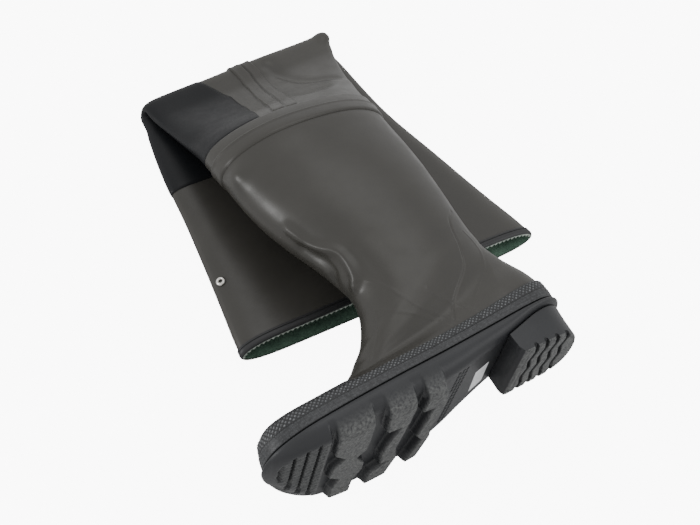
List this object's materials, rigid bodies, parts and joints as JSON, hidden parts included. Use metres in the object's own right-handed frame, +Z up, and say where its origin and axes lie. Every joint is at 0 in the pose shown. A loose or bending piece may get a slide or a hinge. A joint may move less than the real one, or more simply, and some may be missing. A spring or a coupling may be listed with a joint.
{
  "type": "hip wader",
  "caption": "Rubber hip wader for the right foot, lying on its side with the slack thigh folded under at the knee; lugged sole, bound collar.",
  "frame": {"origin": "middle of the footprint of the lying wader, on the floor", "axes": "+Z up from the floor; -X towards the toe; +Y along the leg towards the knee fold; the tread faces -Y and the inner side of the foot faces +Z"},
  "size_m": [0.3998, 0.4788, 0.1348],
  "materials": {
    "olive_rubber": "semi-gloss, dark brown olive",
    "black_rubber": "satin black",
    "sole_rubber": "satin charcoal, rough tread",
    "insole_cloth": "dark green cloth",
    "eyelet_metal": "bright",
    "white_label": "plain white, blank"
  },
  "bodies": {
    "root": {"upper": "olive_rubber", "foxing": "black_rubber", "toe_cap": "black_rubber", "joint_band": "olive_rubber", "knee_patch": "black_rubber", "side_tape": "olive_rubber", "binding": "black_rubber", "outsole": "sole_rubber", "heel": "sole_rubber", "insole": "insole_cloth", "eyelet": "eyelet_metal", "label": "white_label"}
  },
  "joints": []
}
